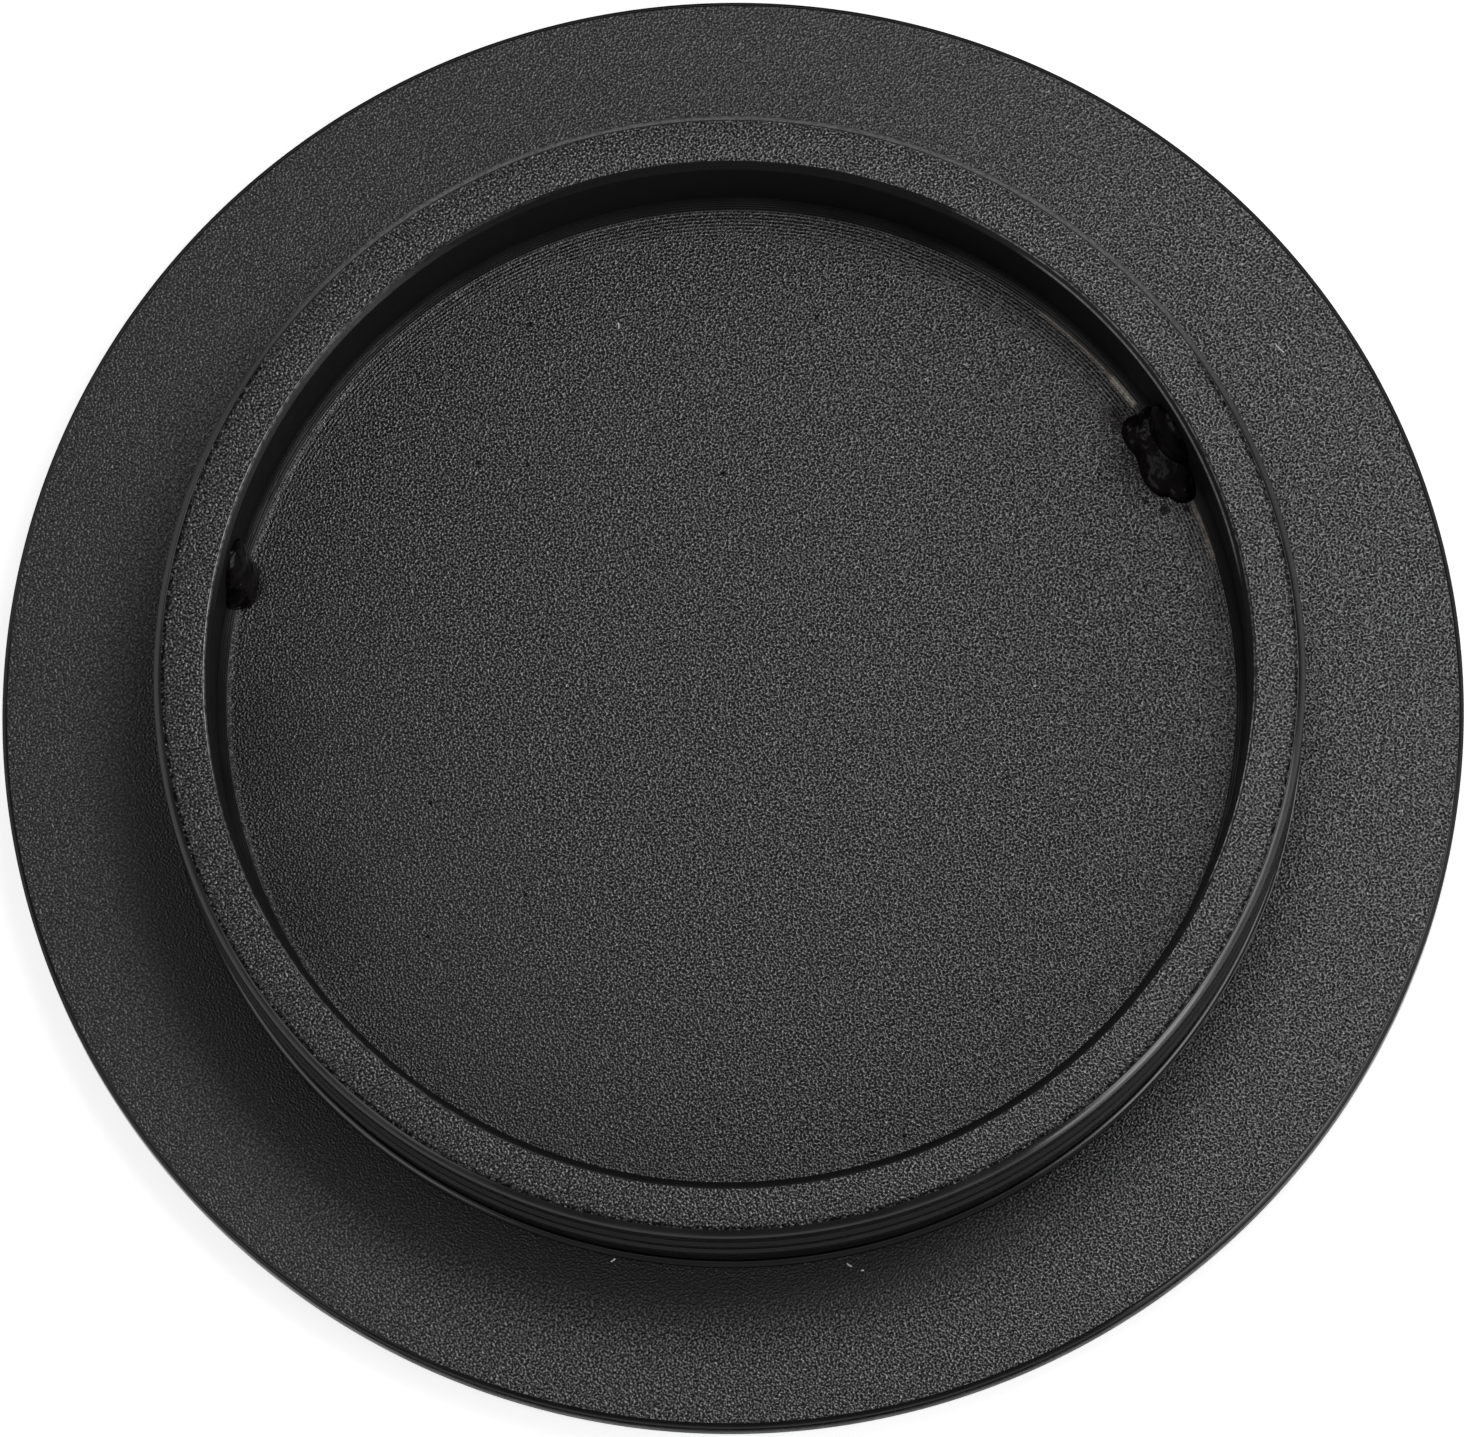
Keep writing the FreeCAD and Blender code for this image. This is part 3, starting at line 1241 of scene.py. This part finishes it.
def make_finishes(cap: CapBody, effects: SharedEffects) -> dict[Zone, Material]:
    """Make a material for each zone of the cap.

    Args:
        cap: The cap's sizes.
        effects: The shared node groups.

    Returns:
        The materials by zone.
    """
    black = (0.004, 0.0035, 0.0035, 1.0)
    # painted shade: the dark line round the outer edge of the ring top
    painted_edge_shade = grey(0.003)
    brown = (0.012, 0.009, 0.008, 1.0)
    # painted shade: the floor darker by the wall at the lower left
    painted_floor_shade = (0.028, 0.026, 0.0255, 1.0)
    # pale brownish lines along the floor corner by the right dab
    pale_brown = (0.18, 0.163, 0.146, 1.0)
    paler_brown = (0.36, 0.33, 0.293, 1.0)
    # pale lines: on the mouth edge partly wear and partly painted highlight, on the floor corner a
    # painted highlight
    bare_and_highlight = grey(0.16)
    dim_wear_and_highlight = grey(0.08)
    rubbed_and_highlight = grey(0.19)
    # painted highlight: the pale band on the far side of the lip
    painted_lip_highlight = grey(0.13)

    def on_floor(radius: float, bearing: float) -> tuple[float, float, float]:
        """Give a point of the recess floor."""
        return tuple(polar(radius * MM, bearing, cap.floor_height))

    spots = tuple(
        StainOrShade(on_floor(radius, bearing), 0.4 * size * MM, size * MM, 0.12 * MM, black, 0.9)
        for radius, bearing, size in (
            (12.78, 25.9, 0.13), (13.15, 23.9, 0.2), (13.72, 23.0, 0.15),
            (12.11, 117.7, 0.1), (9.78, 136.2, 0.1), (11.90, 15.3, 0.09))
    )
    feathers_and_shades = (
        StainOrShade(on_floor(13.8, 30.2), 0.5 * MM, 2.05 * MM, 0.5 * MM, black, 0.85),
        StainOrShade(on_floor(13.4, 36.4), 0.1 * MM, 0.8 * MM, 0.7 * MM, brown, 0.7),
        # painted shade: the floor darker by the lower-left wall
        StainOrShade(on_floor(14.1, 185.0), 0.0, 3.4 * MM, 0.3 * MM, painted_floor_shade, 0.42),
        StainOrShade(on_floor(14.1, 206.0), 0.0, 3.6 * MM, 0.3 * MM, painted_floor_shade, 0.42),
        StainOrShade(on_floor(13.95, 166.1), 0.4 * MM, 0.75 * MM, 0.3 * MM, black, 0.8),
    )
    lip = cap.plug_radius - cap.lip_chamfer
    mouth = cap.recess_radius + cap.mouth_chamfer
    corner = cap.recess_radius - cap.floor_corner
    # Lines along the floor corner: pale brownish ones by the right dab, and at bearing 150 a painted
    # highlight on the corner.
    floor_corner_lines = (
        RingLine(corner + 0.14 * MM, 0.11 * MM, pale_brown, 44.5, 8.3, 0.6, 0.004),
        RingLine(corner + 0.13 * MM, 0.16 * MM, paler_brown, 38.6, 2.4, 0.5, 0.0004),
        RingLine(corner + 0.12 * MM, 0.14 * MM, pale_brown, 20.2, 4.2, 0.4, 0.001),
        RingLine(corner + 0.03 * MM, 0.07 * MM, bare_and_highlight, 150.0, 12.0, 0.2, 0.01),
    )
    finishes = {
        # The seat's grain is flattened by the near side of the ring, where the ring's shadow falls:
        # painted shade.
        Zone.SEAT: BlastedFinish(
            "blasted_seat", dark=tinted(0.0185), light=tinted(0.312), calm=0.5, shadow_flattening=0.85),
        # The ring top's dark line along its outer edge, on the near side, is painted shade.
        Zone.RING_TOP: BlastedFinish(
            "blasted_ring_top", dark=tinted(0.0162), light=tinted(0.292),
            lines=(RingLine(lip - 0.04 * MM, 0.17 * MM, painted_edge_shade, 270.0, 125.0),)),
        # On the floor, the flatter grain towards bearing 212 and the two darker patches by the wall at
        # bearings 185 and 206 are painted shade.
        Zone.FLOOR: BlastedFinish(
            "blasted_floor", calm=0.6, calm_bearing=212.0, calm_start=4.0 * MM, calm_end=13.0 * MM,
            lines=floor_corner_lines, stains_and_shades=feathers_and_shades + spots, pit_spacing=2.6 * MM, ring_depth=0.012 * MM,
            ring_start=corner - 0.95 * MM, ring_end=corner - 0.1 * MM),
        Zone.OUTER_FACE: BlastedFinish("blasted_outer_face"),
        Zone.RIM: TurnedFinish("turned_rim", tone=tinted(0.03), worn=tinted(0.05), grazing=grey(0.25)),
        Zone.PLUG: TurnedFinish(
            "turned_plug", tone=tinted(0.018), worn=tinted(0.03), grazing=grey(0.35), metallic=0.5,
            specular=0.1),
        # The pale band on the far side of the lip is a painted highlight.
        Zone.LIP: TurnedFinish(
            "turned_lip",
            lines=(RingLine(lip + cap.lip_chamfer / 2, 0.3 * MM, painted_lip_highlight, 86.0, 64.0, 0.5, 0.4),)),
        Zone.FOOT: TurnedFinish("turned_foot", tone=tinted(0.05), worn=tinted(0.09)),
        # The pale lines on the mouth edge lie only on the arcs where highlights fall: partly wear, partly
        # painted highlight.
        Zone.MOUTH_EDGE: TurnedFinish(
            "mouth_edge_wear_and_highlight", tone=tinted(0.018), worn=tinted(0.028), metallic=0.5, specular=0.1,
            lines=(
                RingLine(mouth, 0.05 * MM, dim_wear_and_highlight, 175.0, 70.0, 0.2, 0.2),
                RingLine(mouth, 0.06 * MM, bare_and_highlight, 160.0, 34.0, 0.2, 0.08),
                RingLine(mouth, 0.05 * MM, bare_and_highlight, 20.0, 45.0),
                RingLine(cap.recess_radius + 0.05 * MM, 0.05 * MM, rubbed_and_highlight, 33.0, 24.0, 0.8, 0.04))),
        Zone.RECESS_WALL: TurnedFinish(
            "blackened_recess_wall", metallic=0.0, specular=0.01, roughness=0.4, tone=tinted(0.0095),
            worn=tinted(0.0165)),
        Zone.FLOOR_CORNER: TurnedFinish(
            "turned_floor_corner", tone=tinted(0.012), worn=tinted(0.06), metallic=0.4, specular=0.1,
            line_pitch=0.10 * MM, line_depth=0.006 * MM, lines=floor_corner_lines),
    }
    return {zone: finish.make(effects) for zone, finish in finishes.items()}


def main() -> None:
    """Build the cap, the dabs, the lint, the studio and the camera."""
    logging.basicConfig(level=logging.INFO, format="%(name)s: %(message)s")
    effects = SharedEffects()
    cap = CapBody.from_frame()
    body = cap.build()
    cap.dress(body, make_finishes(cap, effects))
    LOG.info("turned cap: %d faces", len(body.data.polygons))
    space = cap.build_recess_space()
    lacquer = LacquerFinish("dried_lacquer").make()
    dabs = (
        LacquerDab("right_lacquer_dab", "right_dab", (
            Lump(14.26 * MM, 30.2, 0.0, 1.15 * MM, 1.4 * MM, 0.75 * MM),
            Lump(14.26 * MM, 30.6, 1.2 * MM, 0.5 * MM, 0.9 * MM, 1.4 * MM),
            Lump(13.65 * MM, 33.2, 0.0, 0.55 * MM, 0.65 * MM, 0.4 * MM),
            Lump(13.50 * MM, 28.2, 0.0, 0.5 * MM, 0.75 * MM, 0.35 * MM),
            Lump(13.9 * MM, 25.6, 0.0, 0.5 * MM, 0.5 * MM, 0.32 * MM),
        )),
        LacquerDab("left_lacquer_dab", "left_dab", (
            Lump(14.26 * MM, 166.2, 0.0, 0.68 * MM, 0.85 * MM, 1.6 * MM),
            Lump(14.26 * MM, 165.6, 1.5 * MM, 0.4 * MM, 0.7 * MM, 1.2 * MM),
            Lump(13.85 * MM, 167.4, 0.0, 0.35 * MM, 0.4 * MM, 0.6 * MM),
        ), crease_size=0.35 * MM),
    )
    for dab in dabs:
        piece = dab.build(cap, space)
        dab.dress(piece, lacquer)
        LOG.info("%s: %d faces", dab.name, len(piece.data.polygons))
    bpy.data.objects.remove(space)
    lint = Lint((
        Fibre(18.39 * MM, 33.7, cap.seat_height, 0.34 * MM, -48.0),
        Fibre(15.95 * MM, 258.1, cap.seat_height, 0.12 * MM, 35.0),
        Fibre(16.10 * MM, 281.6, cap.seat_height, 0.15 * MM, -32.0),
        Fibre(16.32 * MM, 282.7, cap.seat_height, 0.06 * MM, 0.0),
        Fibre(11.14 * MM, 106.5, cap.floor_height, 0.16 * MM, 95.0),
        Fibre(8.42 * MM, 2.3, cap.floor_height, 0.07 * MM, 20.0),
    ))
    coat(lint.build(), LintFinish("pale_lint").make())
    LOG.info("lint: %d fibres", len(lint.fibres))
    aim = Vector((0.0467 * MM, -0.3293 * MM, cap.seat_height))
    Studio((
        SoftBox("key_box", 45.0, 70.3, 90 * MM, 52 * MM, 30 * MM, 0.0195),
        SoftBox("right_box", 340.0, 22.0, 140 * MM, 110 * MM, 60 * MM, 0.065),
        SoftBox("low_right_strip", 322.0, 9.0, 150 * MM, 70 * MM, 18 * MM, 0.017),
        SoftBox("near_left_box", 215.0, 32.0, 140 * MM, 90 * MM, 80 * MM, 0.028),
        SoftBox("far_left_box", 150.0, 28.0, 150 * MM, 50 * MM, 40 * MM, 0.014),
    )).build(aim)
    PhotoCamera(tuple(aim)).build()
    LOG.info("studio and camera set")


if __name__ == "__main__":
    main()
